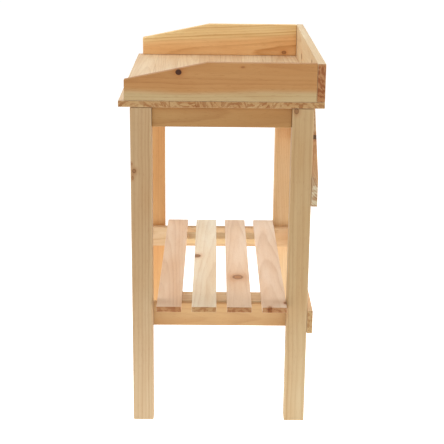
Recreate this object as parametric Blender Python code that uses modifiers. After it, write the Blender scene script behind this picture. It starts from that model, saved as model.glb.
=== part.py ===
"""Child's pine potting bench: a worktop with raised sides and back on four legs,
and a loose slatted shelf that lies on two rails near the floor.

Metres, +Z up. The bench's front is at -Y and its right-hand end at +X. The origin is on
the floor, under the middle of the bench and its shelf together.
"""

import math

import bmesh
import bpy
from mathutils import Vector

# Worktop, a glued panel
WORKTOP_LENGTH = 0.600
WORKTOP_DEPTH = 0.390
WORKTOP_THICK = 0.012
WORKTOP_HEIGHT = 0.661

# Raised sides and back
SIDE_THICK = 0.015
SIDE_FRONT_HEIGHT = 0.0395
SIDE_FRONT_SETBACK = 0.0113
SIDE_SLOPE_RUN = 0.1565
BACK_THICK = 0.0155
BACK_HEIGHT = 0.0725

# Legs: width runs along Y, thickness along X
LEG_WIDTH = 0.041
LEG_THICK = 0.033
LEG_FRONT_SETBACK = 0.022
LEG_REAR_SETBACK = 0.020

# End rails: the upper ones stand between the legs, the lower ones lie on their inner faces
UPPER_RAIL_HEIGHT = 0.0385
UPPER_RAIL_THICK = 0.016
UPPER_RAIL_RECESS = 0.008
LOWER_RAIL_HEIGHT = 0.048
LOWER_RAIL_THICK = 0.016
LOWER_RAIL_TOP = 0.243
LOWER_RAIL_INSET = 0.001

# Boards across the back of the rear legs
STRETCHER_HEIGHT = 0.048
STRETCHER_THICK = 0.011
STRETCHER_TOP = 0.241
BRACE_HEIGHT = 0.192
BRACE_THICK = 0.012
BRACE_END_HEIGHT = 0.0575
BRACE_CUT_ANGLE = math.radians(45)

# Slatted shelf: it has some play between the rails and between the legs
SLAT_COUNT = 4
SLAT_WIDTH = 0.049
SLAT_THICK = 0.0115
SLAT_SHORTFALL = 0.003
BATTEN_WIDTH = 0.051
BATTEN_THICK = 0.012
BATTEN_INSET = 0.003
SHELF_END_PLAY = 0.020
SHELF_SIDE_PLAY = 0.008
SHELF_STOP_GAP = 0.001
SHELF_LEG_GAP = 0.0005

# Fasteners
HEAD_RADIUS = 0.0034
HEAD_DEPTH = 0.0022
SHANK_RADIUS = 0.0016
POINT_LENGTH = 0.004
HEAD_SINK = 0.0003
DOWEL_RADIUS = 0.004
DOWEL_CHAMFER = 0.001
UPPER_DOWEL_LENGTH = 0.030
LOWER_DOWEL_LENGTH = 0.024
BITE_IN_LEG = 0.018
BITE_IN_SLAT = 0.008
BITE_IN_WORKTOP = 0.008
BITE_IN_PANEL = 0.020
STRETCHER_SCREW_INSET = 0.012
BRACE_SCREW_INSETS = (0.014, 0.044)
LOWER_DOWEL_INSET = 0.012
LOWER_DOWEL_FROM_LEG_EDGE = 0.014
UPPER_RAIL_SCREW_INSET = 0.060
SIDE_SCREW_FROM_FRONT = 0.060
BACK_SCREW_FROM_END = 0.150
CORNER_SCREW_INSET = 0.016

# Fits and edges
GAP = 0.0003
FASTENER_FIT = 0.0003
EDGE_ROUND = 0.0012
LEG_ROUND = 0.0020
ROUND_SEGMENTS = 2
TURNED_SIDES = 12
MERGE = 0.00001
CUTTER_REACH = 0.002

# Finishes
PINE_LEG = (0.60, 0.42, 0.24)
PINE_PANEL = (0.56, 0.35, 0.16)
PINE_TOP = (0.78, 0.62, 0.44)
PINE_RAIL = (0.52, 0.30, 0.13)
PINE_SLAT = (0.74, 0.55, 0.36)
BEECH = (0.58, 0.40, 0.24)
ZINC = (0.62, 0.62, 0.60)
WOOD_ROUGHNESS = 0.55
ZINC_ROUGHNESS = 0.35

# Planes worked out from the sizes above, about the worktop's own middle
END_X = WORKTOP_LENGTH / 2
FRONT_Y = -WORKTOP_DEPTH / 2
REAR_Y = WORKTOP_DEPTH / 2
UNDERSIDE_Z = WORKTOP_HEIGHT - WORKTOP_THICK
FRAME_TOP_Z = UNDERSIDE_Z - GAP
PANEL_BASE_Z = WORKTOP_HEIGHT + GAP
LEG_INNER_X = END_X - LEG_THICK
LEG_MIDDLE_X = END_X - LEG_THICK / 2
FRONT_LEG_Y = FRONT_Y + LEG_FRONT_SETBACK
REAR_LEG_Y = REAR_Y - LEG_REAR_SETBACK
FRONT_LEG_INNER_Y = FRONT_LEG_Y + LEG_WIDTH
REAR_LEG_INNER_Y = REAR_LEG_Y - LEG_WIDTH
RAIL_OUTER_X = LEG_INNER_X - GAP
RAIL_INNER_X = RAIL_OUTER_X - LOWER_RAIL_THICK
SLAT_LENGTH = WORKTOP_LENGTH - SLAT_SHORTFALL
SHELF_DEPTH = REAR_LEG_INNER_Y - FRONT_LEG_INNER_Y - SHELF_SIDE_PLAY
SHELF_X = SHELF_END_PLAY - SHELF_STOP_GAP
SHELF_Y = REAR_LEG_INNER_Y - SHELF_LEG_GAP - SHELF_DEPTH / 2
SHELF_Z = LOWER_RAIL_TOP + GAP
SHELF_OVERHANG = max(SHELF_X + SLAT_LENGTH / 2 - END_X, 0)
SIDES = (("left", -1), ("right", 1))

for old in list(bpy.data.objects):
    bpy.data.objects.remove(old, do_unlink=True)

parts = bpy.data.collections.new("potting_bench")
cutters = bpy.data.collections.new("cutters")
cutters.hide_render = True
bpy.context.scene.collection.children.link(parts)
bpy.context.scene.collection.children.link(cutters)


def empty(name, place, parent=None):
    """A frame that pieces are placed in."""
    frame = bpy.data.objects.new(name, None)
    frame.location = place
    frame.parent = parent
    parts.objects.link(frame)
    return frame


def finish(piece, colour, roughness, metallic):
    """Gives a piece its own material."""
    material = bpy.data.materials.new(f"{piece.name}_finish")
    material.use_nodes = True
    shader = material.node_tree.nodes["Principled BSDF"]
    shader.inputs["Base Color"].default_value = (*colour, 1)
    shader.inputs["Roughness"].default_value = roughness
    shader.inputs["Metallic"].default_value = metallic
    piece.data.materials.append(material)


def slice_off(bm, point, normal):
    """Saws away what lies beyond a plane and closes the cut."""
    geometry = bm.verts[:] + bm.edges[:] + bm.faces[:]
    cut = bmesh.ops.bisect_plane(
        bm, geom=geometry, plane_co=point, plane_no=normal, clear_outer=True
    )
    rim = [item for item in cut["geom_cut"] if isinstance(item, bmesh.types.BMEdge)]
    bmesh.ops.edgeloop_fill(bm, edges=rim)
    bmesh.ops.recalc_face_normals(bm, faces=bm.faces)


def board(name, low, high, parent, colour, rounding=EDGE_ROUND, saw_cuts=()):
    """A board between two corners, with rounded edges and any corners sawn off."""
    low, high = Vector(low), Vector(high)
    middle = (low + high) / 2
    bm = bmesh.new()
    bmesh.ops.create_cube(bm, size=1)
    bmesh.ops.scale(bm, vec=high - low, verts=bm.verts)
    for point, normal in saw_cuts:
        slice_off(bm, Vector(point) - middle, normal)
    mesh = bpy.data.meshes.new(name)
    bm.to_mesh(mesh)
    bm.free()
    piece = bpy.data.objects.new(name, mesh)
    piece.location = middle
    piece.parent = parent
    parts.objects.link(piece)
    finish(piece, colour, WOOD_ROUGHNESS, 0)
    edges = piece.modifiers.new("rounded_edges", "BEVEL")
    edges.width = rounding
    edges.segments = ROUND_SEGMENTS
    edges.limit_method = "ANGLE"
    edges.angle_limit = math.radians(30)
    return piece


def turned(name, profile, place, direction, parent, collection):
    """A solid turned about its own Z axis from (radius, height) points, top first. Its foot points along direction."""
    mesh = bpy.data.meshes.new(name)
    points = [(radius, 0, height) for radius, height in profile]
    mesh.from_pydata(points, [(n, n + 1) for n in range(len(points) - 1)], [])
    piece = bpy.data.objects.new(name, mesh)
    piece.location = place
    piece.rotation_mode = "QUATERNION"
    piece.rotation_quaternion = Vector(direction).to_track_quat("-Z", "Y")
    piece.parent = parent
    collection.objects.link(piece)
    lathe = piece.modifiers.new("lathe", "SCREW")
    lathe.steps = TURNED_SIDES
    lathe.render_steps = TURNED_SIDES
    lathe.use_merge_vertices = True
    lathe.merge_threshold = MERGE
    return piece


def bore(hole, pieces):
    """Cuts one hole through every piece that it passes."""
    hole.display_type = "WIRE"
    hole.hide_render = True
    for piece in pieces:
        holes = bpy.data.collections.get(f"{piece.name}_holes")
        if holes is None:
            holes = bpy.data.collections.new(f"{piece.name}_holes")
            cutters.children.link(holes)
            cut = piece.modifiers.new("holes", "BOOLEAN")
            cut.operand_type = "COLLECTION"
            cut.collection = holes
            cut.solver = "EXACT"
        holes.objects.link(hole)


def screw(name, surface, direction, length, pieces):
    """A countersunk wood screw, driven from a point on the first piece's surface through the pieces.
    Its head lies a little under the surface."""
    direction = Vector(direction)
    parent = pieces[0].parent
    place = Vector(surface) + direction * HEAD_SINK
    body = [
        (0, 0),
        (HEAD_RADIUS, 0),
        (SHANK_RADIUS, -HEAD_DEPTH),
        (SHANK_RADIUS, POINT_LENGTH - length),
        (0, -length),
    ]
    solid = turned(name, body, place, direction, parent, parts)
    finish(solid, ZINC, ZINC_ROUGHNESS, 1)
    head, shank = HEAD_RADIUS + FASTENER_FIT, SHANK_RADIUS + FASTENER_FIT
    mouth = HEAD_SINK + CUTTER_REACH
    room = [
        (0, mouth),
        (head, mouth),
        (head, 0),
        (shank, -HEAD_DEPTH),
        (shank, POINT_LENGTH - length),
        (0, -length - FASTENER_FIT),
    ]
    bore(turned(f"{name}_hole", room, place, direction, parent, cutters), pieces)


def dowel(name, middle, direction, length, pieces):
    """A plain dowel with chamfered ends, half in each of two pieces that meet there."""
    half, flat = length / 2, DOWEL_RADIUS - DOWEL_CHAMFER
    parent = pieces[0].parent
    body = [
        (0, half),
        (flat, half),
        (DOWEL_RADIUS, half - DOWEL_CHAMFER),
        (DOWEL_RADIUS, DOWEL_CHAMFER - half),
        (flat, -half),
        (0, -half),
    ]
    solid = turned(name, body, middle, direction, parent, parts)
    finish(solid, BEECH, WOOD_ROUGHNESS, 0)
    wall, reach = DOWEL_RADIUS + FASTENER_FIT, half + FASTENER_FIT
    room = [(0, reach), (wall, reach), (wall, -reach), (0, -reach)]
    bore(turned(f"{name}_hole", room, middle, direction, parent, cutters), pieces)


bench = empty("bench_frame", (-SHELF_OVERHANG / 2, 0, 0))
shelf = empty("shelf_frame", (SHELF_X, SHELF_Y, SHELF_Z), bench)

# Worktop
worktop = board(
    "worktop",
    (-END_X, FRONT_Y, UNDERSIDE_Z),
    (END_X, REAR_Y, WORKTOP_HEIGHT),
    bench,
    PINE_TOP,
)

# Legs, flush with the worktop's ends
legs = {}
for side, sign in SIDES:
    for row, edge_y in (("front", FRONT_LEG_Y), ("rear", REAR_LEG_INNER_Y)):
        inner, outer = sorted((sign * LEG_INNER_X, sign * END_X))
        legs[row, side] = board(
            f"leg_{row}_{side}",
            (inner, edge_y, 0),
            (outer, edge_y + LEG_WIDTH, FRAME_TOP_Z),
            bench,
            PINE_LEG,
            rounding=LEG_ROUND,
        )
LEG_MIDDLES = {
    "front": (FRONT_LEG_Y + FRONT_LEG_INNER_Y) / 2,
    "rear": (REAR_LEG_Y + REAR_LEG_INNER_Y) / 2,
}

# Upper end rails, dowelled between the legs and screwed up into the worktop
for side, sign in SIDES:
    outer = END_X - UPPER_RAIL_RECESS
    span = sorted((sign * outer, sign * (outer - UPPER_RAIL_THICK)))
    base_z = FRAME_TOP_Z - UPPER_RAIL_HEIGHT
    front_y, rear_y = FRONT_LEG_INNER_Y + GAP, REAR_LEG_INNER_Y - GAP
    rail = board(
        f"upper_rail_{side}",
        (span[0], front_y, base_z),
        (span[1], rear_y, FRAME_TOP_Z),
        bench,
        PINE_RAIL,
    )
    middle_x, middle_z = sum(span) / 2, base_z + UPPER_RAIL_HEIGHT / 2
    for row, joint_y in (("front", FRONT_LEG_INNER_Y), ("rear", REAR_LEG_INNER_Y)):
        dowel(
            f"dowel_{row}_{side}",
            (middle_x, joint_y, middle_z),
            (0, 1, 0),
            UPPER_DOWEL_LENGTH,
            (rail, legs[row, side]),
        )
    for row, screw_y in (
        ("front", front_y + UPPER_RAIL_SCREW_INSET),
        ("rear", rear_y - UPPER_RAIL_SCREW_INSET),
    ):
        screw(
            f"worktop_screw_{row}_{side}",
            (middle_x, screw_y, base_z),
            (0, 0, 1),
            UPPER_RAIL_HEIGHT + GAP + BITE_IN_WORKTOP,
            (rail, worktop),
        )

# Lower end rails, with blind dowels into the legs
for side, sign in SIDES:
    span = sorted((sign * RAIL_INNER_X, sign * RAIL_OUTER_X))
    base_z = LOWER_RAIL_TOP - LOWER_RAIL_HEIGHT
    rail = board(
        f"lower_rail_{side}",
        (span[0], FRONT_LEG_Y + LOWER_RAIL_INSET, base_z),
        (span[1], REAR_LEG_Y - LOWER_RAIL_INSET, LOWER_RAIL_TOP),
        bench,
        PINE_RAIL,
    )
    for row, dowel_y in (
        ("front", FRONT_LEG_INNER_Y - LOWER_DOWEL_FROM_LEG_EDGE),
        ("rear", REAR_LEG_INNER_Y + LOWER_DOWEL_FROM_LEG_EDGE),
    ):
        for level, dowel_z in (
            ("lower", base_z + LOWER_DOWEL_INSET),
            ("upper", LOWER_RAIL_TOP - LOWER_DOWEL_INSET),
        ):
            dowel(
                f"rail_dowel_{row}_{side}_{level}",
                (sign * RAIL_OUTER_X, dowel_y, dowel_z),
                (sign, 0, 0),
                LOWER_DOWEL_LENGTH,
                (rail, legs[row, side]),
            )

# Rear stretcher and rear brace, screwed to the backs of the rear legs
stretcher_base_z = STRETCHER_TOP - STRETCHER_HEIGHT
board_face_y = REAR_LEG_Y + GAP
stretcher = board(
    "rear_stretcher",
    (-END_X, board_face_y, stretcher_base_z),
    (END_X, board_face_y + STRETCHER_THICK, STRETCHER_TOP),
    bench,
    PINE_SLAT,
)
brace_base_z = FRAME_TOP_Z - BRACE_HEIGHT
shoulder_z = brace_base_z + BRACE_END_HEIGHT
cut_normal = (math.sin(BRACE_CUT_ANGLE), 0, math.cos(BRACE_CUT_ANGLE))
brace = board(
    "rear_brace",
    (-END_X, board_face_y, brace_base_z),
    (END_X, board_face_y + BRACE_THICK, FRAME_TOP_Z),
    bench,
    PINE_PANEL,
    saw_cuts=[
        ((sign * END_X, 0, shoulder_z), (sign * cut_normal[0], 0, cut_normal[2]))
        for side, sign in SIDES
    ],
)
for side, sign in SIDES:
    for level, screw_z in (
        ("lower", stretcher_base_z + STRETCHER_SCREW_INSET),
        ("upper", STRETCHER_TOP - STRETCHER_SCREW_INSET),
    ):
        screw(
            f"stretcher_screw_{side}_{level}",
            (sign * LEG_MIDDLE_X, board_face_y + STRETCHER_THICK, screw_z),
            (0, -1, 0),
            STRETCHER_THICK + GAP + BITE_IN_LEG,
            (stretcher, legs["rear", side]),
        )
    for level, inset in zip(("lower", "upper"), BRACE_SCREW_INSETS):
        screw(
            f"brace_screw_{side}_{level}",
            (sign * LEG_MIDDLE_X, board_face_y + BRACE_THICK, brace_base_z + inset),
            (0, -1, 0),
            BRACE_THICK + GAP + BITE_IN_LEG,
            (brace, legs["rear", side]),
        )

# Back panel: it covers the rear ends of the side panels
back_face_y = REAR_Y - BACK_THICK
back_panel = board(
    "back_panel",
    (-END_X, back_face_y, PANEL_BASE_Z),
    (END_X, REAR_Y, PANEL_BASE_Z + BACK_HEIGHT),
    bench,
    PINE_PANEL,
)
for side, sign in SIDES:
    screw(
        f"back_screw_{side}",
        (sign * BACK_SCREW_FROM_END, REAR_Y - BACK_THICK / 2, UNDERSIDE_Z),
        (0, 0, 1),
        WORKTOP_THICK + GAP + BITE_IN_PANEL,
        (worktop, back_panel),
    )

# Side panels: low at the front, rising in a straight slope to the back panel's height
for side, sign in SIDES:
    front_y = FRONT_Y + SIDE_FRONT_SETBACK
    rise = math.atan2(BACK_HEIGHT - SIDE_FRONT_HEIGHT, SIDE_SLOPE_RUN)
    span = sorted((sign * END_X, sign * (END_X - SIDE_THICK)))
    panel = board(
        f"side_panel_{side}",
        (span[0], front_y, PANEL_BASE_Z),
        (span[1], back_face_y - GAP, PANEL_BASE_Z + BACK_HEIGHT),
        bench,
        PINE_PANEL,
        saw_cuts=[
            (
                (0, front_y, PANEL_BASE_Z + SIDE_FRONT_HEIGHT),
                (0, -math.sin(rise), math.cos(rise)),
            )
        ],
    )
    middle_x = sum(span) / 2
    screw(
        f"side_screw_{side}",
        (middle_x, front_y + SIDE_SCREW_FROM_FRONT, UNDERSIDE_Z),
        (0, 0, 1),
        WORKTOP_THICK + GAP + BITE_IN_PANEL,
        (worktop, panel),
    )
    for level, screw_z in (
        ("lower", PANEL_BASE_Z + CORNER_SCREW_INSET),
        ("upper", PANEL_BASE_Z + BACK_HEIGHT - CORNER_SCREW_INSET),
    ):
        screw(
            f"corner_screw_{side}_{level}",
            (middle_x, REAR_Y, screw_z),
            (0, -1, 0),
            BACK_THICK + GAP + BITE_IN_PANEL,
            (back_panel, panel),
        )

# Slatted shelf: slats screwed from below to two battens, which drop between the lower rails
pitch = (SHELF_DEPTH - SLAT_WIDTH) / (SLAT_COUNT - 1)
slat_middles = [(n - (SLAT_COUNT - 1) / 2) * pitch for n in range(SLAT_COUNT)]
slats = []
for n, middle_y in enumerate(slat_middles, 1):
    slats.append(
        board(
            f"slat_{n}",
            (-SLAT_LENGTH / 2, middle_y - SLAT_WIDTH / 2, 0),
            (SLAT_LENGTH / 2, middle_y + SLAT_WIDTH / 2, SLAT_THICK),
            shelf,
            PINE_SLAT,
        )
    )
for side, sign in SIDES:
    outer = RAIL_INNER_X - SHELF_END_PLAY
    span = sorted((sign * outer, sign * (outer - BATTEN_WIDTH)))
    reach = SHELF_DEPTH / 2 - BATTEN_INSET
    batten = board(
        f"batten_{side}",
        (span[0], -reach, -GAP - BATTEN_THICK),
        (span[1], reach, -GAP),
        shelf,
        PINE_RAIL,
    )
    for n, middle_y in enumerate(slat_middles, 1):
        screw(
            f"slat_screw_{n}_{side}",
            (sum(span) / 2, middle_y, -GAP - BATTEN_THICK),
            (0, 0, 1),
            BATTEN_THICK + GAP + BITE_IN_SLAT,
            (batten, slats[n - 1]),
        )
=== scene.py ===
"""The looks of a child's pine potting bench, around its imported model."""

import math

import bmesh
import bpy
from mathutils import Matrix, Vector, noise


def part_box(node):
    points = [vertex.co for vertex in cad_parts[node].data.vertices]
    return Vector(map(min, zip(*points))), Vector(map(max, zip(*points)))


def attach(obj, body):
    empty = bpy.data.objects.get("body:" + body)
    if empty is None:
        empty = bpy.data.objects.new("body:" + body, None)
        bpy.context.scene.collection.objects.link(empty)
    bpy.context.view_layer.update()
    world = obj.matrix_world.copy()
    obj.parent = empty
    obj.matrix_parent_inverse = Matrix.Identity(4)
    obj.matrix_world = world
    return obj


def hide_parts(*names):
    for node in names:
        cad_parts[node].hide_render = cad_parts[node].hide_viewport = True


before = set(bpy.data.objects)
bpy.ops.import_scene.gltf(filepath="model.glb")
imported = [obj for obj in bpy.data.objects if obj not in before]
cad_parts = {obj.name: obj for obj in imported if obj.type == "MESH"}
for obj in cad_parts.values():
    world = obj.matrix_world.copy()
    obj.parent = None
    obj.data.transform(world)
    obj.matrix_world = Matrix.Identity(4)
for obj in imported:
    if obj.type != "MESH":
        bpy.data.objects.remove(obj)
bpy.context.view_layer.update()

# Camera: it looks along the bench at its right-hand end from a little above, level with
# the middle of the worktop's depth, through a long lens.
CAMERA_PLACE = Vector((2.3981, -0.0137, 1.0642))
CAMERA_TILT_DOWN = math.radians(16.887)
CAMERA_TURN = math.radians(-0.465)
CAMERA_ROLL = math.radians(0.628)
CAMERA_LENS = 92.0

backward = Vector(
    (
        math.cos(CAMERA_TILT_DOWN) * math.cos(CAMERA_TURN),
        math.cos(CAMERA_TILT_DOWN) * math.sin(CAMERA_TURN),
        math.sin(CAMERA_TILT_DOWN),
    )
)
level = Vector((-math.sin(CAMERA_TURN), math.cos(CAMERA_TURN), 0))
facing = Matrix((level, backward.cross(level), backward)).transposed()
camera = bpy.data.objects.new("camera", bpy.data.cameras.new("camera"))
camera.data.lens = CAMERA_LENS
camera.data.clip_end = 100
camera.matrix_world = (
    Matrix.Translation(CAMERA_PLACE)
    @ facing.to_4x4()
    @ Matrix.Rotation(CAMERA_ROLL, 4, "Z")
)
bpy.context.scene.collection.objects.link(camera)
bpy.context.scene.camera = camera

# Studio: a faint even surround that itself shows white, a strong softbox before the bench and
# one behind it, weaker ones over it and at its ends, and a faint low one for the near feet.
SURROUND_LIGHT = 0.30
SOFTBOXES = (
    ("softbox_front", (-0.3, -2.0, 1.6), (0, 0, 0.35), (2.2, 1.8), 33),
    ("softbox_rear", (-0.3, 2.0, 1.6), (0, 0, 0.35), (2.2, 1.8), 33),
    ("softbox_top", (-0.4, 0.0, 2.6), (0, 0, 0.30), (1.6, 1.6), 10),
    ("softbox_left", (-1.9, 0.0, 1.5), (0, 0, 0.30), (1.6, 1.6), 8),
    ("softbox_right", (1.8, 0.0, 1.7), (0, 0, 0.60), (1.2, 1.2), 10),
    ("softbox_low", (0.58, 0.0, 0.05), (0, 0, 0.05), (0.5, 0.08), 0.30),
)

surround = bpy.data.worlds.new("surround")
surround.use_nodes = True
backdrop = surround.node_tree.nodes["Background"]
seen = surround.node_tree.nodes.new("ShaderNodeLightPath")
brightness = surround.node_tree.nodes.new("ShaderNodeMath")
brightness.operation = "MULTIPLY_ADD"
brightness.inputs[1].default_value = 1 - SURROUND_LIGHT
brightness.inputs[2].default_value = SURROUND_LIGHT
surround.node_tree.links.new(seen.outputs["Is Camera Ray"], brightness.inputs[0])
surround.node_tree.links.new(brightness.outputs[0], backdrop.inputs["Strength"])
backdrop.inputs["Color"].default_value = (1, 1, 1, 1)
bpy.context.scene.world = surround
bpy.context.scene.view_settings.view_transform = "Standard"

for name, place, aim, size, power in SOFTBOXES:
    softbox = bpy.data.objects.new(name, bpy.data.lights.new(name, "AREA"))
    softbox.data.shape = "RECTANGLE"
    softbox.data.size, softbox.data.size_y = size
    softbox.data.energy = power
    softbox.location = place
    softbox.rotation_mode = "QUATERNION"
    softbox.rotation_quaternion = (Vector(aim) - Vector(place)).to_track_quat("-Z", "Y")
    softbox.visible_camera = False
    bpy.context.scene.collection.objects.link(softbox)

# Floor: one wide sheet of matt white, lit from below as a light table is, so that it shows
# no shadow. It glows more strongly about the bench, which lifts the feet of the legs.
FLOOR_REACH = 60
FLOOR_WHITE = (0.45, 0.45, 0.45, 1)
FLOOR_GLOW_NEAR = 1.65
FLOOR_GLOW_FAR = 0.90
FLOOR_GLOW_REACH = 0.60
FLOOR_ROUGHNESS = 0.9
FLOOR_SHINE = 0.1

bm = bmesh.new()
bmesh.ops.create_grid(bm, x_segments=1, y_segments=1, size=FLOOR_REACH)
floor_mesh = bpy.data.meshes.new("floor")
bm.to_mesh(floor_mesh)
bm.free()
floor = bpy.data.objects.new("floor", floor_mesh)
bpy.context.scene.collection.objects.link(floor)
floor_paint = bpy.data.materials.new("floor_paint")
floor_paint.use_nodes = True
floor_shader = floor_paint.node_tree.nodes["Principled BSDF"]
floor_shader.inputs["Base Color"].default_value = FLOOR_WHITE
floor_shader.inputs["Roughness"].default_value = FLOOR_ROUGHNESS
floor_shader.inputs["Specular IOR Level"].default_value = FLOOR_SHINE
floor_place = floor_paint.node_tree.nodes.new("ShaderNodeTexCoord")
floor_glow = floor_paint.node_tree.nodes.new("ShaderNodeTexGradient")
floor_glow.gradient_type = "QUADRATIC_SPHERE"
floor_spread = floor_paint.node_tree.nodes.new("ShaderNodeVectorMath")
floor_spread.operation = "SCALE"
floor_spread.inputs["Scale"].default_value = 0.5 / FLOOR_GLOW_REACH
floor_lift = floor_paint.node_tree.nodes.new("ShaderNodeMapRange")
floor_lift.inputs["To Min"].default_value = FLOOR_GLOW_FAR / FLOOR_GLOW_NEAR
for start, end in (
    (floor_place.outputs["Object"], floor_spread.inputs[0]),
    (floor_spread.outputs[0], floor_glow.inputs["Vector"]),
    (floor_glow.outputs["Fac"], floor_lift.inputs["Value"]),
    (floor_lift.outputs["Result"], floor_shader.inputs["Emission Color"]),
):
    floor_paint.node_tree.links.new(start, end)
floor_shader.inputs["Emission Strength"].default_value = FLOOR_GLOW_NEAR
floor.data.materials.append(floor_paint)


# Worktop: eight pine staves glued side by side into one flat panel, planed and left bare.
# Four screws come up through it into the raised sides and back. Its section also says what
# pine looks like, and how a board is planed and bored.
class Signal:
    """The output of a node. Arithmetic on it adds Math nodes to the same tree."""

    def __init__(self, graph, socket):
        self.graph = graph
        self.socket = socket

    def maths(self, operation, *others):
        return self.graph.maths(operation, self, *others)

    def __add__(self, other):
        return self.graph.maths("ADD", self, other)

    def __radd__(self, other):
        return self.graph.maths("ADD", other, self)

    def __sub__(self, other):
        return self.graph.maths("SUBTRACT", self, other)

    def __rsub__(self, other):
        return self.graph.maths("SUBTRACT", other, self)

    def __mul__(self, other):
        return self.graph.maths("MULTIPLY", self, other)

    def __rmul__(self, other):
        return self.graph.maths("MULTIPLY", other, self)

    def __truediv__(self, other):
        return self.graph.maths("DIVIDE", self, other)

    def __rtruediv__(self, other):
        return self.graph.maths("DIVIDE", other, self)


class Graph:
    """A node tree in the making."""

    def __init__(self, tree):
        self.tree = tree

    def feed(self, socket, value):
        for one in value if isinstance(value, list) else [value]:
            if isinstance(one, Signal):
                self.tree.links.new(one.socket, socket)
            else:
                socket.default_value = one

    def add(self, kind, settings, inputs, output=0):
        """Adds a node: its settings first, then the values or links of its sockets."""
        made = self.tree.nodes.new(kind)
        for key, value in settings.items():
            if key == "stops":
                ramp = made.color_ramp
                while len(ramp.elements) < len(value):
                    ramp.elements.new(0.5)
                for stop, (place, colour) in zip(ramp.elements, value):
                    stop.position = place
                    stop.color = (*colour, 1)
            elif key == "between_stops":
                made.color_ramp.interpolation = value
            else:
                setattr(made, key, value)
        for key, value in inputs.items():
            self.feed(made.inputs[key], value)
        return Signal(self, made.outputs[output])

    def maths(self, operation, *values):
        return self.add("ShaderNodeMath", {"operation": operation}, dict(enumerate(values)))

    def vector(self, x, y, z):
        return self.add("ShaderNodeCombineXYZ", {}, {0: x, 1: y, 2: z})

    def split(self, vector):
        first = self.add("ShaderNodeSeparateXYZ", {}, {0: vector})
        return [Signal(self, socket) for socket in first.socket.node.outputs]


class Finish(Graph):
    """A material in the making."""

    def __init__(self, name):
        self.material = bpy.data.materials.new(name)
        self.material.use_nodes = True
        super().__init__(self.material.node_tree)
        self.shader = self.tree.nodes["Principled BSDF"]

    def step(self, value, start, end):
        """Rises smoothly from 0 at start to 1 at end."""
        return self.add(
            "ShaderNodeMapRange",
            {"interpolation_type": "SMOOTHSTEP"},
            {"Value": value, "From Min": start, "From Max": end},
        )

    def grain_noise(self, place, detail=2.0):
        return self.add("ShaderNodeTexNoise", {}, {"Vector": place, "Scale": 1.0, "Detail": detail})

    def blend(self, share, first, second, mode="MIX"):
        """Mixes two colours."""
        return self.add(
            "ShaderNodeMix",
            {"data_type": "RGBA", "blend_type": mode, "clamp_factor": True},
            {0: share, 6: first, 7: second},
            output=2,
        )

    def tint(self, share, colour, by):
        """Multiplies a colour by another where share says."""
        return self.blend(share, colour, (*by, 1), mode="MULTIPLY")

    def by_number(self, number, colours):
        """The colour that stands at a place in a list."""
        count = len(colours)
        return self.add(
            "ShaderNodeValToRGB",
            {
                "between_stops": "CONSTANT",
                "stops": [(n / count, colour) for n, colour in enumerate(colours)],
            },
            {"Fac": (number + 0.5) / count},
        )

    def surface(self, colour, roughness, height, strength, depth):
        """Feeds the shader."""
        bump = self.add(
            "ShaderNodeBump",
            {},
            {"Height": height, "Strength": strength, "Distance": depth},
        )
        self.feed(self.shader.inputs["Base Color"], colour)
        self.feed(self.shader.inputs["Roughness"], roughness)
        self.feed(self.shader.inputs["Normal"], bump)
        return self.material


SAPWOOD = (0.80, 0.60, 0.38)
LATEWOOD = (0.55, 0.31, 0.13)
HEARTWOOD_TINT = (0.93, 0.71, 0.55)
WARM_TINT = (0.86, 0.68, 0.50)
DUCT_TINT = (0.62, 0.42, 0.25)
END_GRAIN_TINT = (0.71, 0.60, 0.43)
END_BAND_TINT = (0.66, 0.46, 0.34)
GLUE_TINT = (0.66, 0.52, 0.40)
HALO_TINT = (0.70, 0.38, 0.16)
WORN_WOOD = (0.90, 0.68, 0.43)
KNOT_WOOD = (0.40, 0.19, 0.075)
KNOT_RING = (0.055, 0.016, 0.005)
KNOT_RIM = (0.050, 0.015, 0.005)
HEART_REACH = 0.25
GLUE_LINE_START = 0.0001
GLUE_LINE_END = 0.0005
WEAR_SHOWING = 0.16
WOOD_SHINE = 0.30
WOOD_ROUGHNESS = 0.62
GRAIN_STRENGTH = 0.4
GRAIN_DEPTH = 0.0004

# How often each pattern of the grain repeats in a metre: along a board, and across it.
SWAY = (2.2, 14)
RIPPLE = (16, 95)
STREAK = (1.6, 150)
FIBRE = (24, 900)
CLOUD = (5, 28)
DUCT = (80, 1400)


def knots_in(wood, length, across, ripple, knots):
    """How far knots push the grain aside, and the masks of their wood, rings, rim and halo."""
    pushed, inside, rings, rim, halo = 0.0, 0.0, 0.0, 0.0, 0.0
    for along, aside, radius, stretch, dark in knots:
        off = across - aside
        before = (length - along) / stretch
        far = (before * before + off * off).maths("SQRT") * (1 + ripple * 0.7)
        reach = (radius * 1.2) ** 2
        pushed = pushed + off * (reach / (far * far).maths("MAXIMUM", reach))
        core = 1 - wood.step(far, radius * 0.84, radius * 1.06)
        inside = inside + core * (0.55 + 0.45 * dark)
        rings = rings + core * ((far * (16 / radius)).maths("SINE") * 0.3 + dark)
        edge = (far - radius) / (radius * 0.17)
        rim = rim + (0 - edge * edge).maths("EXPONENT") * (0.45 + 0.5 * dark)
        glow = far / (radius * 2.0)
        halo = halo + (0 - glow * glow).maths("EXPONENT")
    return pushed, inside, rings, rim, halo


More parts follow.
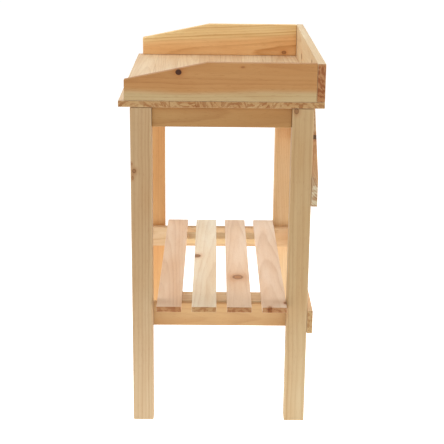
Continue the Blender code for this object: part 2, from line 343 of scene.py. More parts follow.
def pine(
    name,
    low,
    high,
    grain,
    heart=(0.03, 0.09),
    ring=0.0032,
    lean=(0.0, 0.0),
    waver=1.6,
    tone=(1, 1, 1),
    contrast=0.5,
    heartwood=0.0,
    heart_tone=HEARTWOOD_TINT,
    end_tone=END_GRAIN_TINT,
    bands=1.0,
    fade=None,
    knots=(),
    staves=None,
    glued=False,
    seed=0.0,
):
    """Pine as a solid: growth rings about a heart line, so that faces and end grain agree.

    grain names the board's axes: along the grain, across its face, through its thickness.
    heart is where the rings' centre lies across and through it from its middle, and lean how
    far that drifts along it. knots are (along, across, radius, stretch, darkness) from the
    middle. staves are the tone and the heart of each strip that the width is divided into.
    The painted light ramp is where along the board its colour starts and stops being lightened by
    painted light, and by what tint.
    """
    wood = Finish(name)
    order = ["XYZ".index(letter) for letter in grain]
    middle = (low + high) / 2
    place = wood.split(wood.add("ShaderNodeTexCoord", {}, {}, output=3))
    length, across, through = [place[n] - middle[n] for n in order]
    heart_across, heart_through, stave_tone, glue = *heart, None, 0.0
    lot = seed
    if staves:
        width = (high[order[1]] - low[order[1]]) / len(staves)
        counted = across / width + len(staves) / 2
        number = counted.maths("FLOOR")
        stave_tone = wood.by_number(number, [tint for tint, centre in staves])
        centres = [
            (a / HEART_REACH / 2 + 0.5, t / HEART_REACH / 2 + 0.5, 0) for tint, (a, t) in staves
        ]
        centre = wood.split(wood.by_number(number, centres))
        stave_middle = (number + (0.5 - len(staves) / 2)) * width
        heart_across = (centre[0] - 0.5) * (2 * HEART_REACH) + stave_middle
        heart_through = (centre[1] - 0.5) * (2 * HEART_REACH)
        lot = number * 7.3 + seed
        if glued:
            part = counted.maths("FRACT")
            gap = part.maths("MINIMUM", 1 - part) * width
            glue = 1 - wood.step(gap, GLUE_LINE_START, GLUE_LINE_END)

    def pattern(repeats, detail=2.0):
        along, over = repeats
        spot = wood.vector(length * along + lot, across * over, through * over)
        return wood.grain_noise(spot, detail)

    sway = pattern(SWAY) - 0.5
    ripple = pattern(RIPPLE, 1.0) - 0.5
    pushed, inside, rings, rim, halo = knots_in(wood, length, across, ripple, knots)
    beside = across - pushed - heart_across - length * lean[0]
    below = through - heart_through - length * lean[1]
    distance = (beside * beside + below * below).maths("SQRT")
    count = distance / ring + sway * waver + ripple * 0.3
    year = wood.add(
        "ShaderNodeTexWhiteNoise",
        {"noise_dimensions": "1D"},
        {"W": count.maths("FLOOR") + lot},
    )
    late = wood.add(
        "ShaderNodeValToRGB",
        {
            "stops": [
                (spot, (grey,) * 3)
                for spot, grey in ((0, 0.06), (0.4, 0.12), (0.76, 0.7), (0.88, 1), (1, 0.06))
            ]
        },
        {"Fac": count.maths("FRACT")},
    )
    late = late * (year * 0.95 + 0.3)
    outward = wood.split(wood.add("ShaderNodeTexCoord", {}, {}, output=1))
    end_face = wood.step(outward[order[0]].maths("ABSOLUTE"), 0.55, 0.85)
    band = wood.grain_noise(wood.vector(count * 0.5 + lot, across * 110, through * 60), 1.0)
    band = wood.step(band, 0.46, 0.58) * end_face * bands
    streak = pattern(STREAK)
    fibre = pattern(FIBRE, 3.0)
    cloud = pattern(CLOUD)
    duct = wood.step(pattern(DUCT, 0.0), 0.70, 0.80)
    dark = late * (end_face * 0.45 + contrast)
    dark = dark + (fibre - 0.5) * 0.36 + (streak - 0.5) * (0.85 * contrast)
    colour = wood.blend(dark, (*SAPWOOD, 1), (*LATEWOOD, 1))
    colour = wood.tint((cloud - 0.5) * 1.2 + 0.3, colour, WARM_TINT)
    colour = wood.tint(duct * 0.4, colour, DUCT_TINT)
    if heartwood:
        deep = 1 - wood.step(distance + sway * 0.02, heartwood * 0.94, heartwood * 1.06)
        colour = wood.tint(deep, colour, heart_tone)
    colour = wood.tint(1.0, colour, tone)
    # Painted light: a ramp along the board that lightens and whitens the colour past a point. It
    # stands in for light falling there, not for a change in the wood.
    if fade:
        fade_start, fade_end, fade_tint = fade
        colour = wood.tint(wood.step(length, fade_start, fade_end), colour, fade_tint)
    if stave_tone:
        colour = wood.blend(1.0, colour, stave_tone, mode="MULTIPLY")
    if glued:
        colour = wood.tint(glue * 0.8, colour, GLUE_TINT)
    if knots:
        colour = wood.tint(halo * 0.7, colour, HALO_TINT)
        colour = wood.blend(
            inside, colour, wood.blend(rings, (*KNOT_WOOD, 1), (*KNOT_RING, 1))
        )
        colour = wood.blend(rim, colour, (*KNOT_RIM, 1))
    colour = wood.tint(end_face, colour, end_tone)
    colour = wood.tint(band * (cloud + 0.2), colour, END_BAND_TINT)
    worn = wood.add("ShaderNodeAttribute", {"attribute_name": "arris"}, {}, output=2)
    colour = wood.blend(worn * WEAR_SHOWING, colour, (*WORN_WOOD, 1))
    wood.shader.inputs["Specular IOR Level"].default_value = WOOD_SHINE
    return wood.surface(
        colour,
        WOOD_ROUGHNESS - late * 0.12 + (fibre - 0.5) * 0.2 + end_face * 0.15 + inside * 0.1,
        fibre * 0.5 + late * 0.35 - duct * 0.8 + inside * 0.3 - rim * 0.3 - glue * 0.6,
        GRAIN_STRENGTH,
        GRAIN_DEPTH,
    )


SCREW_HEAD_RADIUS = 0.0034
SCREW_HEAD_DEPTH = 0.0022
SCREW_SHANK_RADIUS = 0.0016
DOWEL_RADIUS = 0.004
BORE_FIT = 0.0003
BORE_SIDES = 24


def driven(fastener):
    """Where a screw or dowel starts, which way it is driven and how long it is."""
    low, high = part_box(fastener)
    kind = fastener.split("_")[0]
    if kind == "rail":
        way = Vector((1 if "right" in fastener else -1, 0, 0))
    elif kind in ("stretcher", "brace", "corner", "dowel"):
        way = Vector((0, -1, 0))
    else:
        way = Vector((0, 0, 1))
    length = abs((high - low).dot(way))
    return (low + high) / 2 - way * length / 2, way, length


def add_bore(bm, fastener):
    """Adds the room that is bored for a fastener, turned from (radius, depth) points."""
    start, way, length = driven(fastener)
    if "dowel" in fastener:
        wall = DOWEL_RADIUS + BORE_FIT
        profile = [(wall, -BORE_FIT), (wall, length + BORE_FIT)]
    else:
        head, shank = SCREW_HEAD_RADIUS + BORE_FIT, SCREW_SHANK_RADIUS + BORE_FIT
        profile = [
            (head, -SCREW_HEAD_DEPTH),
            (head, 0),
            (shank, SCREW_HEAD_DEPTH),
            (shank, length + BORE_FIT),
        ]
    profile = [(0, profile[0][1]), *profile, (0, profile[-1][1])]
    turned = bmesh.new()
    dots = [turned.verts.new((radius, 0, depth)) for radius, depth in profile]
    lines = [turned.edges.new(pair) for pair in zip(dots, dots[1:])]
    bmesh.ops.spin(
        turned,
        geom=dots + lines,
        cent=(0, 0, 0),
        axis=(0, 0, 1),
        angle=math.tau,
        steps=BORE_SIDES,
        use_merge=True,
    )
    bmesh.ops.remove_doubles(turned, verts=turned.verts, dist=1e-6)
    turned.transform(Matrix.Translation(start) @ way.to_track_quat("Z", "Y").to_matrix().to_4x4())
    bmesh.ops.recalc_face_normals(turned, faces=turned.faces)
    mesh = bpy.data.meshes.new("bore")
    turned.to_mesh(mesh)
    turned.free()
    bm.from_mesh(mesh)
    bpy.data.meshes.remove(mesh)


def bore(board, node):
    """Bores a board for every fastener that passes through its CAD node."""
    low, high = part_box(node)
    bm = bmesh.new()
    for fastener in sorted(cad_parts):
        if "screw" not in fastener and "dowel" not in fastener:
            continue
        near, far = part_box(fastener)
        if all(near[n] < high[n] and far[n] > low[n] for n in range(3)):
            add_bore(bm, fastener)
    cutter = bpy.data.objects.new("bores", bpy.data.meshes.new("bores"))
    bm.to_mesh(cutter.data)
    bm.free()
    bpy.context.scene.collection.objects.link(cutter)
    drill = board.modifiers.new("bores", "BOOLEAN")
    drill.object = cutter
    drill.solver = "EXACT"
    whole = board.evaluated_get(bpy.context.evaluated_depsgraph_get())
    board.data = bpy.data.meshes.new_from_object(whole)
    board.modifiers.clear()
    bpy.data.objects.remove(cutter)


def slice_off(bm, point, normal):
    """Saws away what lies beyond a plane and closes the cut."""
    geometry = bm.verts[:] + bm.edges[:] + bm.faces[:]
    cut = bmesh.ops.bisect_plane(
        bm, geom=geometry, plane_co=point, plane_no=normal, clear_outer=True
    )
    rim = [item for item in cut["geom_cut"] if isinstance(item, bmesh.types.BMEdge)]
    bmesh.ops.edgeloop_fill(bm, edges=rim)
    bmesh.ops.recalc_face_normals(bm, faces=bm.faces)


FACE_STEP = 0.014
SHARP_CORNER = math.radians(30)
EDGE_SEGMENTS = 3
FACE_WAVE = 0.00008
EDGE_WAVE = 0.00012
EDGE_DENT = 0.0006
WAVES_IN_METRE = 23
DENTS_IN_METRE = 71
SMOOTH_UNDER = math.radians(50)


def planed_board(node, rounding, saw_cuts=()):
    """A board in a CAD node's place: rounded edges, a barely uneven face and worn corners."""
    low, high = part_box(node)
    bm = bmesh.new()
    bmesh.ops.create_cube(bm, size=1)
    bmesh.ops.scale(bm, vec=high - low, verts=bm.verts)
    bmesh.ops.translate(bm, vec=(low + high) / 2, verts=bm.verts)
    for point, normal in saw_cuts:
        slice_off(bm, point, normal)
    sharp = [e for e in bm.edges if e.calc_face_angle(0) > SHARP_CORNER]
    bmesh.ops.bevel(
        bm, geom=sharp, offset=rounding, segments=EDGE_SEGMENTS, profile=0.5, affect="EDGES"
    )
    for axis in range(3):
        normal = Vector((axis == 0, axis == 1, axis == 2))
        first, last = low[axis] + rounding * 1.3, high[axis] - rounding * 1.3
        parts = max(1, round((last - first) / FACE_STEP))
        for n in range(parts + 1):
            point = normal * (first + (last - first) * n / parts)
            geometry = bm.verts[:] + bm.edges[:] + bm.faces[:]
            bmesh.ops.bisect_plane(bm, geom=geometry, plane_co=point, plane_no=normal)
    bm.normal_update()
    worn = bm.verts.layers.float.new("arris")
    moves = []
    for vertex in bm.verts:
        facing = vertex.normal
        corner = 1 - max(abs(facing.x), abs(facing.y), abs(facing.z))
        corner = min(1, corner / 0.2)
        wave = 0.5 + 0.5 * noise.noise(vertex.co * WAVES_IN_METRE)
        dent = max(0, noise.noise(vertex.co * DENTS_IN_METRE) - 0.15)
        inward = FACE_WAVE * wave + corner * (EDGE_WAVE * wave + EDGE_DENT * dent)
        moves.append((vertex, facing * inward, corner * (0.45 + 0.55 * wave)))
    for vertex, move, wear in moves:
        vertex.co -= move
        vertex[worn] = wear
    board = bpy.data.objects.new(f"{node}_board", bpy.data.meshes.new(f"{node}_board"))
    bm.to_mesh(board.data)
    bm.free()
    bpy.context.scene.collection.objects.link(board)
    bore(board, node)
    board.data.shade_smooth()
    board.data.set_sharp_from_angle(angle=SMOOTH_UNDER)
    return board


def fit_board(node, body, slot, rounding, grain, saw_cuts=(), **looks):
    """Planes a board of pine and puts it in its CAD node's place."""
    board = planed_board(node, rounding, saw_cuts)
    board.data.materials.clear()
    board.data.materials.append(pine(f"{node}_pine", *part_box(node), grain, **looks))
    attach(board, body)
    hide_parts(node)


THIN_EDGE = 0.0009
STAVES = (
    ((1.01, 0.98, 0.94), (0.010, -0.050)),
    ((1.00, 0.96, 0.92), (-0.030, -0.030)),
    ((1.01, 0.98, 0.94), (0.015, 0.090)),
    ((0.95, 0.87, 0.80), (0.030, 0.012)),
    ((0.95, 0.87, 0.80), (-0.004, -0.016)),
    ((1.02, 1.00, 0.97), (-0.040, 0.060)),
    ((1.01, 0.98, 0.94), (0.020, -0.070)),
    ((1.01, 0.98, 0.94), (-0.030, -0.080)),
)
fit_board(
    "worktop",
    "bench",
    "pine_worktop",
    THIN_EDGE,
    "XYZ",
    ring=0.0024,
    lean=(0.01, 0.012),
    tone=(0.96, 1.04, 1.14),
    contrast=0.56,
    staves=STAVES,
    glued=True,
    seed=3.0,
)

# Legs: four posts of planed pine with their long edges well rounded, flush with the
# worktop's ends and set back from its front and rear.
LEG_EDGE = 0.0022
LEG_LOOKS = {
    "leg_front_right": {
        "heart": (-0.060, -0.085),
        "tone": (0.66, 0.63, 0.56),
        "knots": (
            (0.2007, -0.0133, 0.0030, 1.2, 0.35),
            (0.2145, -0.0180, 0.0014, 1.5, 0.10),
            (0.1869, -0.0165, 0.0018, 1.8, 0.10),
        ),
        "seed": 1.0,
    },
    "leg_rear_right": {
        "heart": (0.045, -0.110),
        "tone": (0.67, 0.65, 0.55),
        "knots": ((0.3195, -0.0130, 0.0034, 1.2, 0.40),),
        "seed": 2.0,
    },
    "leg_front_left": {
        "heart": (-0.075, 0.060),
        "tone": (0.88, 0.68, 0.45),
        "knots": ((-0.110, 0.0120, 0.0030, 1.3, 0.30),),
        "seed": 4.0,
    },
    "leg_rear_left": {
        "heart": (0.085, 0.070),
        "tone": (0.94, 0.88, 0.77),
        "seed": 5.0,
    },
}
for node, looks in LEG_LOOKS.items():
    fit_board(
        node,
        "bench",
        "pine_legs",
        LEG_EDGE,
        "ZYX",
        ring=0.0034,
        lean=(0.004, 0.006),
        contrast=0.50,
        # Painted light: the legs turn paler and whiter towards their feet, standing in for light
        # thrown up from the floor.
        fade=(0.02, -0.24, (1.04, 1.10, 1.20)),
        **looks,
    )

# Upper end rails: short pieces of pine between the tops of the legs, held at each end by a
# fluted beech dowel, and screwed up into the worktop.
PLANED_EDGE = 0.0010

for side, heart, seed in (("right", (0.004, 0.14), 11.0), ("left", (-0.030, -0.10), 12.0)):
    fit_board(
        f"upper_rail_{side}",
        "bench",
        "pine_rails",
        PLANED_EDGE,
        "YZX",
        heart=heart,
        ring=0.0030,
        lean=(0.006, 0.01),
        tone=(0.60, 0.58, 0.42),
        contrast=0.4,
        heartwood=0.20,
        seed=seed,
    )


class Recipe(Graph):
    """A Geometry Nodes tree in the making, with named inputs."""

    def __init__(self, name, inputs):
        super().__init__(bpy.data.node_groups.new(name, "GeometryNodeTree"))
        sockets = self.tree.interface
        for key, kind in {"Geometry": "Geometry", **inputs}.items():
            sockets.new_socket(key, in_out="INPUT", socket_type=f"NodeSocket{kind}")
        sockets.new_socket("Geometry", in_out="OUTPUT", socket_type="NodeSocketGeometry")
        self.group_input = self.tree.nodes.new("NodeGroupInput")

    def given(self, key):
        return Signal(self, self.group_input.outputs[key])

    def attribute(self, name, kind):
        return self.add(
            "GeometryNodeInputNamedAttribute", {"data_type": kind}, {"Name": name}
        )

    def index(self):
        return self.add("GeometryNodeInputIndex", {}, {})

    def on_points(self, instance, rotation=None):
        """Puts the instance on each given point."""
        sockets = {"Points": self.given("Geometry"), "Instance": instance}
        if rotation:
            sockets["Rotation"] = rotation
        return self.add("GeometryNodeInstanceOnPoints", {}, sockets)

    def along_drive(self, spin=0.0):
        """Turns the Z axis to the way that a fastener is driven, after a spin about it."""
        way = self.add(
            "FunctionNodeAlignRotationToVector",
            {"axis": "Z"},
            {"Vector": self.attribute("drive", "FLOAT_VECTOR")},
        )
        twist = self.add(
            "FunctionNodeAxisAngleToRotation", {}, {"Axis": (0, 0, 1), "Angle": spin}
        )
        return self.add(
            "FunctionNodeRotateRotation",
            {"rotation_space": "LOCAL"},
            {"Rotation": way, "Rotate By": twist},
        )

    def serve(self, geometry, material):
        """Ends the tree."""
        whole = self.add("GeometryNodeRealizeInstances", {}, {"Geometry": geometry})
        done = self.add(
            "GeometryNodeSetMaterial", {}, {"Geometry": whole, "Material": self.given(material)}
        )
        group_output = self.tree.nodes.new("NodeGroupOutput")
        self.feed(group_output.inputs["Geometry"], done)

    def make(self, name, mesh, values):
        """Runs the tree on a mesh, and returns what it makes as a plain mesh."""
        piece = bpy.data.objects.new(name, mesh)
        bpy.context.scene.collection.objects.link(piece)
        modifier = piece.modifiers.new(name, "NODES")
        modifier.node_group = self.tree
        for item in self.tree.interface.items_tree:
            if item.in_out == "INPUT" and item.name in values:
                modifier[item.identifier] = values[item.name]
        whole = piece.evaluated_get(bpy.context.evaluated_depsgraph_get())
        made = bpy.data.meshes.new_from_object(whole)
        made.name = name
        bpy.data.objects.remove(piece)
        return made


def starts_of(fasteners):
    """A mesh of one point where each fastener starts, with the way that it is driven."""
    places = [driven(fastener) for fastener in fasteners]
    mesh = bpy.data.meshes.new("starts")
    mesh.from_pydata([start for start, way, length in places], [], [])
    ways = mesh.attributes.new("drive", "FLOAT_VECTOR", "POINT")
    for item, (start, way, length) in zip(ways.data, places):
        item.vector = way
    return mesh


def place_piece(name, meshes, body, nodes):
    """Joins meshes into one piece that stands for its CAD nodes."""
    bm = bmesh.new()
    for mesh in meshes:
        bm.from_mesh(mesh)
    whole = meshes[0].copy()
    bm.to_mesh(whole)
    bm.free()
    whole.shade_smooth()
    whole.set_sharp_from_angle(angle=math.radians(40))
    piece = bpy.data.objects.new(name, whole)
    bpy.context.scene.collection.objects.link(piece)
    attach(piece, body)
    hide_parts(*nodes)


def beech():
    """Steamed beech: pinkish, with short dark flecks along the grain."""
    wood = Finish("beech")
    x, y, z = wood.split(wood.add("ShaderNodeTexCoord", {}, {}, output=3))
    fibre = wood.grain_noise(wood.vector(x * 900, y * 40, z * 900), 3.0)
    fleck = wood.step(wood.grain_noise(wood.vector(x * 1600, y * 320, z * 1600), 0.0), 0.64, 0.74)
    colour = wood.blend(fibre, (0.66, 0.46, 0.30, 1), (0.52, 0.33, 0.20, 1))
    colour = wood.tint(fleck * 0.7, colour, (0.62, 0.46, 0.36))
    return wood.surface(colour, 0.6 + (fibre - 0.5) * 0.2, fibre - fleck * 0.5, 0.3, 0.0002)


DOWEL_CHAMFER = 0.001
DOWEL_FLUTES = 12
DOWEL_FLUTE_DEPTH = 0.0003
DOWEL_STEPS = 31

dowelling = Recipe(
    "fluted_dowel",
    {
        "Length": "Float",
        "Radius": "Float",
        "Chamfer": "Float",
        "Flutes": "Int",
        "Flute Depth": "Float",
        "Wood": "Material",
    },
)
rod = dowelling.add(
    "GeometryNodeCurvePrimitiveLine",
    {},
    {"End": dowelling.vector(0, 0, dowelling.given("Length"))},
)
rod = dowelling.add("GeometryNodeResampleCurve", {}, {"Curve": rod, "Count": DOWEL_STEPS})
depth = dowelling.split(dowelling.add("GeometryNodeInputPosition", {}, {}))[2]
from_end = depth.maths("MINIMUM", dowelling.given("Length") - depth)
taper = 1 - (from_end / dowelling.given("Chamfer")).maths("MINIMUM", 1.0)
rod = dowelling.add(
    "GeometryNodeSetCurveRadius",
    {},
    {
        "Curve": rod,
        "Radius": 1 - taper * (dowelling.given("Chamfer") / dowelling.given("Radius")),
    },
)
outline = dowelling.add(
    "GeometryNodeCurvePrimitiveCircle",
    {},
    {"Resolution": dowelling.given("Flutes") * 2, "Radius": dowelling.given("Radius")},
)
inward = dowelling.add(
    "ShaderNodeVectorMath",
    {"operation": "SCALE"},
    {
        0: dowelling.add("GeometryNodeInputPosition", {}, {}),
        "Scale": dowelling.index().maths("MODULO", 2.0)
        * (0 - dowelling.given("Flute Depth") / dowelling.given("Radius")),
    },
)
outline = dowelling.add("GeometryNodeSetPosition", {}, {"Geometry": outline, "Offset": inward})
rod = dowelling.add(
    "GeometryNodeCurveToMesh", {}, {"Curve": rod, "Profile Curve": outline, "Fill Caps": True}
)
dowelling.serve(dowelling.on_points(rod, dowelling.along_drive()), "Wood")


def drive_in(name, body, fasteners, recipe, values):
    """Makes one piece of a body's fasteners, with one run of the tree for each length."""
    lengths = {}
    for fastener in fasteners:
        lengths.setdefault(round(driven(fastener)[2], 4), []).append(fastener)
    place_piece(
        name,
        [
            recipe.make(name, starts_of(group), {**values, "Length": length})
            for length, group in sorted(lengths.items())
        ],
        body,
        fasteners,
    )


drive_in(
    "dowels",
    "bench",
    sorted(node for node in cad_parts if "dowel" in node),
    dowelling,
    {
        "Radius": DOWEL_RADIUS,
        "Chamfer": DOWEL_CHAMFER,
        "Flutes": DOWEL_FLUTES,
        "Flute Depth": DOWEL_FLUTE_DEPTH,
        "Wood": beech(),
    },
)

# Lower end rails: wider pieces of pine on the inner faces of the legs, held by two short
# dowels into each. The shelf lies on them.
for side, heart, heartwood, tone, seed in (
    ("right", (-0.012, 0.070), 0.08, (0.76, 0.86, 0.84), 21.0),
    ("left", (0.010, 0.085), 0.0, (0.83, 0.82, 0.80), 22.0),
):
    fit_board(
        f"lower_rail_{side}",
        "bench",
        "pine_rails",
        PLANED_EDGE,
        "YZX",
        heart=heart,
        ring=0.0034,
        lean=(0.01, 0.03),
        waver=2.2,
        tone=tone,
        contrast=0.5,
        heartwood=heartwood,
        seed=seed,
    )

# Rear boards: a plain stretcher low down, and a broad brace under the worktop with its upper
# corners sawn off, both screwed to the backs of the rear legs.
fit_board(
    "rear_stretcher",
    "bench",
    "pine_rear_boards",
    PLANED_EDGE,
    "XZY",
    heart=(0.012, 0.045),
    ring=0.0030,
    lean=(0.01, 0.02),
    tone=(1.02, 1.00, 0.96),
    contrast=0.5,
    end_tone=(0.66, 0.64, 0.53),
    knots=((-0.118, 0.009, 0.0055, 1.3, 0.5), (0.176, -0.014, 0.0030, 1.3, 0.3)),
    seed=31.0,
)

BRACE_END_HEIGHT = 0.0575
BRACE_CUT_ANGLE = math.radians(45)
brace_low, brace_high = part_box("rear_brace")
fit_board(
    "rear_brace",
    "bench",
    "pine_rear_boards",
    PLANED_EDGE,
    "XZY",
    saw_cuts=[
        (
            Vector((end, 0, brace_low.z + BRACE_END_HEIGHT)),
            Vector((sign * math.sin(BRACE_CUT_ANGLE), 0, math.cos(BRACE_CUT_ANGLE))),
        )
        for end, sign in ((brace_low.x, -1), (brace_high.x, 1))
    ],
    heart=(-0.018, 0.055),
    ring=0.0040,
    lean=(0.02, 0.035),
    waver=2.4,
    tone=(0.98, 0.96, 0.90),
    contrast=0.55,
    heartwood=0.075,
    end_tone=(0.83, 1.02, 1.25),
    knots=(
        (0.2342, 0.0275, 0.0040, 1.2, 1.0),
        (-0.085, -0.030, 0.0110, 1.3, 0.35),
        (0.060, 0.052, 0.0060, 1.3, 0.8),
        (-0.205, 0.020, 0.0035, 1.4, 0.3),
    ),
    seed=32.0,
)

# Side panels: low at the front, and sloping up to the height of the back panel.
SIDE_FRONT_HEIGHT = 0.0395
SIDE_SLOPE_RUN = 0.1565
SIDE_LOOKS = {
    "right": {
        "heart": (0.030, -0.052),
        "tone": (0.68, 0.69, 0.58),
        "contrast": 0.36,
        "heartwood": 0.0757,
        "heart_tone": (0.91, 0.62, 0.41),
        "knots": (
            (-0.0785, 0.0177, 0.0044, 1.1, 1.2),
            (0.0417, 0.0290, 0.0012, 2.0, 0.2),
        ),
        "seed": 41.0,
    },
    "left": {
        "heart": (-0.034, -0.058),
        # Painted light: this panel's tone is raised well above the right panel's, so that its inner
        # face, which faces the open end, looks as lit as the light there.
        "tone": (1.20, 1.22, 0.98),
        "contrast": 0.75,
        "heartwood": 0.074,
        "heart_tone": (0.97, 0.82, 0.76),
        "knots": ((0.1530, -0.0290, 0.0034, 1.5, 0.25),),
        "seed": 42.0,
    },
}
for side, looks in SIDE_LOOKS.items():
    node = f"side_panel_{side}"
    low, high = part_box(node)
    rise = math.atan2(high.z - low.z - SIDE_FRONT_HEIGHT, SIDE_SLOPE_RUN)
    fit_board(
        node,
        "bench",
        "pine_tray_boards",
        PLANED_EDGE,
        "YZX",
        saw_cuts=[
            (
                Vector((0, low.y, low.z + SIDE_FRONT_HEIGHT)),
                Vector((0, -math.sin(rise), math.cos(rise))),
            )
        ],
        ring=0.0038,
        lean=(0.03, 0.02),
        waver=2.0,
        **looks,
    )

# Back panel: the same height as the sides at their rear, whose ends it covers.
fit_board(
    "back_panel",
    "bench",
    "pine_tray_boards",
    PLANED_EDGE,
    "XZY",
    heart=(0.020, 0.034),
    ring=0.0026,
    lean=(0.01, 0.02),
    tone=(0.94, 1.00, 1.00),
    contrast=0.5,
    end_tone=(0.64, 0.42, 0.29),
    bands=1.5,
    knots=((-0.112, -0.012, 0.0060, 1.3, 0.5), (0.158, 0.018, 0.0040, 1.3, 0.8)),
    seed=51.0,
)

# Screws: zinc-plated, with a countersunk head, a cross recess and a coarse wood thread. They
# hold the boards together, driven from below or behind, where they don't show.
zinc = Finish("zinc_plate")
zinc_place = zinc.split(zinc.add("ShaderNodeTexCoord", {}, {}, output=3))
patch = zinc.grain_noise(zinc.vector(*[axis * 420 for axis in zinc_place]), 3.0)
scuff = zinc.grain_noise(zinc.vector(*[axis * 2600 for axis in zinc_place]), 2.0)
zinc.shader.inputs["Metallic"].default_value = 1
zinc_steel = zinc.surface(
    zinc.blend(patch, (0.72, 0.72, 0.70, 1), (0.50, 0.50, 0.47, 1)),
    0.26 + patch * 0.2 + scuff * 0.12,
    patch * 0.4 + scuff * 0.3,
    0.2,
    0.0001,
)

screwing = Recipe(
    "wood_screw",
    {
        "Length": "Float",
        "Head Radius": "Float",
        "Head Depth": "Float",
        "Root Radius": "Float",
        "Thread Height": "Float",
        "Thread Pitch": "Float",
        "Point Length": "Float",
        "Recess Width": "Float",
        "Recess Depth": "Float",
        "Seed": "Int",
        "Steel": "Material",
    },
)


def cone(recipe, foot, top, height, base, sides=20):
    """A cone about the Z axis that starts at a height."""
    solid = recipe.add(
        "GeometryNodeMeshCone",
        {},
        {"Vertices": sides, "Radius Bottom": foot, "Radius Top": top, "Depth": height},
    )
    return recipe.add(
        "GeometryNodeTransform", {}, {"Geometry": solid, "Translation": recipe.vector(0, 0, base)}
    )


HEAD_OVERLAP = 0.1
RECESS_REACH = 1.15
PLAIN_SHANK = 0.35
THREAD_STEPS = 12

root = screwing.given("Root Radius")
head_depth = screwing.given("Head Depth")
point_start = screwing.given("Length") - screwing.given("Point Length")
solid = screwing.add(
    "GeometryNodeMeshBoolean",
    {"operation": "UNION"},
    {
        1: [
            cone(screwing, screwing.given("Head Radius"), root * 0.9, head_depth * 1.1, 0.0),
            cone(screwing, root, root, point_start - head_depth, head_depth * 0.9),
            cone(
                screwing,
                root * 1.02,
                root * HEAD_OVERLAP,
                screwing.given("Point Length") + head_depth * HEAD_OVERLAP,
                point_start - head_depth * HEAD_OVERLAP * 1.5,
            ),
        ]
    },
)
bar_length = screwing.given("Head Radius") * RECESS_REACH
bars = [
    screwing.add("GeometryNodeMeshCube", {}, {"Size": size})
    for size in (
        screwing.vector(
            bar_length, screwing.given("Recess Width"), screwing.given("Recess Depth") * 2
        ),
        screwing.vector(
            screwing.given("Recess Width"), bar_length, screwing.given("Recess Depth") * 2
        ),
    )
]
solid = screwing.add(
    "GeometryNodeMeshBoolean", {"operation": "DIFFERENCE"}, {0: solid, 1: bars}
)
thread_start = screwing.given("Length") * PLAIN_SHANK
thread_length = point_start - thread_start
helix = screwing.add(
    "GeometryNodeCurveSpiral",
    {},
    {
        "Resolution": THREAD_STEPS,
        "Rotations": thread_length / screwing.given("Thread Pitch"),
        "Start Radius": root,
        "End Radius": root,
        "Height": thread_length,
    },
)
ridge = screwing.add(
    "GeometryNodeCurvePrimitiveCircle",
    {},
    {"Resolution": 4, "Radius": screwing.given("Thread Height")},
)
thread = screwing.add(
    "GeometryNodeCurveToMesh", {}, {"Curve": helix, "Profile Curve": ridge, "Fill Caps": True}
)
thread = screwing.add(
    "GeometryNodeTransform",
    {},
    {"Geometry": thread, "Translation": screwing.vector(0, 0, thread_start)},
)
whole_screw = screwing.add("GeometryNodeJoinGeometry", {}, {0: [solid, thread]})
spin = screwing.add(
    "FunctionNodeRandomValue",
    {"data_type": "FLOAT"},
    {"Max": math.tau, "Seed": screwing.given("Seed")},
    output=1,
)
screwing.serve(screwing.on_points(whole_screw, screwing.along_drive(spin)), "Steel")

SCREW_SHAPE = {
    "Head Radius": SCREW_HEAD_RADIUS,
    "Head Depth": SCREW_HEAD_DEPTH,
    "Root Radius": 0.0012,
    "Thread Height": 0.0004,
    "Thread Pitch": 0.0022,
    "Point Length": 0.004,
    "Recess Width": 0.0010,
    "Recess Depth": 0.0016,
    "Seed": 7,
    "Steel": zinc_steel,
}
all_screws = sorted(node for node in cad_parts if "screw" in node)
bench_screws = [screw for screw in all_screws if not screw.startswith("slat")]
drive_in("bench_screws", "bench", bench_screws, screwing, SCREW_SHAPE)

# Shelf battens: two flat strips across the undersides of the slats, which drop between the
# lower rails and keep the shelf from sliding off them.
for side, heart, tone, seed in (
    ("right", (0.008, 0.060), (1.00, 1.10, 1.20), 61.0),
    ("left", (-0.015, 0.050), (0.92, 0.98, 0.92), 62.0),
):
    fit_board(
        f"batten_{side}",
        "shelf",
        "pine_rails",
        THIN_EDGE,
        "YXZ",
        heart=heart,
        ring=0.0032,
        lean=(0.01, 0.02),
        tone=tone,
        contrast=0.40,
        seed=seed,
    )

# Shelf slats: four equal strips of pine with even gaps, each with its own grain.
slat_low, slat_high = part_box("slat_1")[0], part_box("slat_4")[1]
slat_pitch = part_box("slat_2")[0].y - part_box("slat_1")[0].y
slat_gap = slat_pitch - (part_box("slat_1")[1].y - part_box("slat_1")[0].y)
half_gap = Vector((0, slat_gap / 2, 0))

SLAT_UNEVENNESS = 0.00012

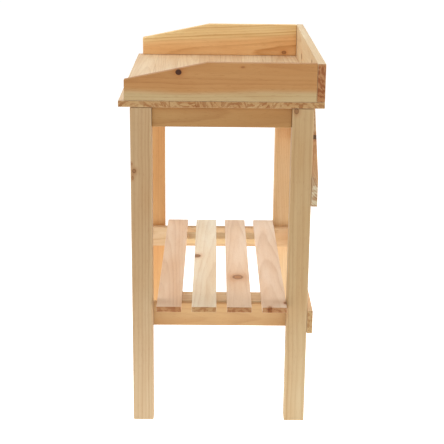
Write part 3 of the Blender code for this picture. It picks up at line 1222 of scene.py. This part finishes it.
slatting = Recipe(
    "row_of_slats",
    {
        "Slat": "Object",
        "Count": "Int",
        "Pitch": "Vector",
        "Unevenness": "Float",
        "Seed": "Float",
        "Wood": "Material",
    },
)
row = slatting.add(
    "GeometryNodeMeshLine",
    {"mode": "OFFSET"},
    {"Count": slatting.given("Count"), "Offset": slatting.given("Pitch")},
)
slat_shape = slatting.add("GeometryNodeObjectInfo", {}, {"Object": slatting.given("Slat")})
slat_shape = Signal(slatting, slat_shape.socket.node.outputs["Geometry"])
row = slatting.add("GeometryNodeInstanceOnPoints", {}, {"Points": row, "Instance": slat_shape})
row = slatting.add(
    "GeometryNodeStoreNamedAttribute",
    {"data_type": "FLOAT", "domain": "INSTANCE"},
    {"Geometry": row, "Name": "slat_number", "Value": slatting.index()},
)
row = slatting.add("GeometryNodeRealizeInstances", {}, {"Geometry": row})
swell = slatting.add(
    "ShaderNodeTexNoise",
    {"noise_dimensions": "4D"},
    {
        "W": slatting.attribute("slat_number", "FLOAT") * 5.1 + slatting.given("Seed"),
        "Scale": 20.0,
        "Detail": 1.0,
    },
)
inward = slatting.add(
    "ShaderNodeVectorMath",
    {"operation": "SCALE"},
    {
        0: slatting.add("GeometryNodeInputNormal", {}, {}),
        "Scale": swell * (0 - slatting.given("Unevenness")),
    },
)
row = slatting.add("GeometryNodeSetPosition", {}, {"Geometry": row, "Offset": inward})
slatting.serve(row, "Wood")

slat_wood = pine(
    "slat_pine",
    slat_low - half_gap,
    slat_high + half_gap,
    "XYZ",
    ring=0.0030,
    lean=(0.004, 0.016),
    waver=1.5,
    # Painted reflection: the slats turn paler and whiter towards their far ends, standing in for
    # the sheen of light glancing off them there.
    fade=(0.20, -0.25, (1.06, 1.12, 1.18)),
    contrast=0.32,
    end_tone=(0.56, 0.38, 0.22),
    staves=(
        ((1.01, 1.04, 1.21), (-0.020, -0.060)),
        ((1.05, 1.28, 1.60), (0.030, -0.120)),
        ((0.97, 1.04, 1.25), (0.004, -0.040)),
        ((0.99, 1.07, 1.32), (-0.006, -0.090)),
    ),
    knots=(
        (-0.0173, -0.0525, 0.0062, 1.5, 0.45),
        (0.1219, 0.0354, 0.0098, 1.35, 0.12),
        (0.2975, 0.0953, 0.0030, 1.4, 0.05),
        (0.2733, 0.1270, 0.0028, 1.6, 0.40),
    ),
    seed=71.0,
)
first_slat = planed_board("slat_1", THIN_EDGE)
slats = [f"slat_{n}" for n in range(1, 5)]
row_of_slats = slatting.make(
    "slats",
    bpy.data.meshes.new("slat_row"),
    {
        "Slat": first_slat,
        "Count": len(slats),
        "Pitch": (0.0, slat_pitch, 0.0),
        "Unevenness": SLAT_UNEVENNESS,
        "Seed": 2.0,
        "Wood": slat_wood,
    },
)
bpy.data.objects.remove(first_slat)
place_piece("slats", [row_of_slats], "shelf", slats)

# Shelf screws: one at each crossing of a slat and a batten, driven from below.
shelf_screws = [screw for screw in all_screws if screw.startswith("slat")]
drive_in("shelf_screws", "shelf", shelf_screws, screwing, SCREW_SHAPE)
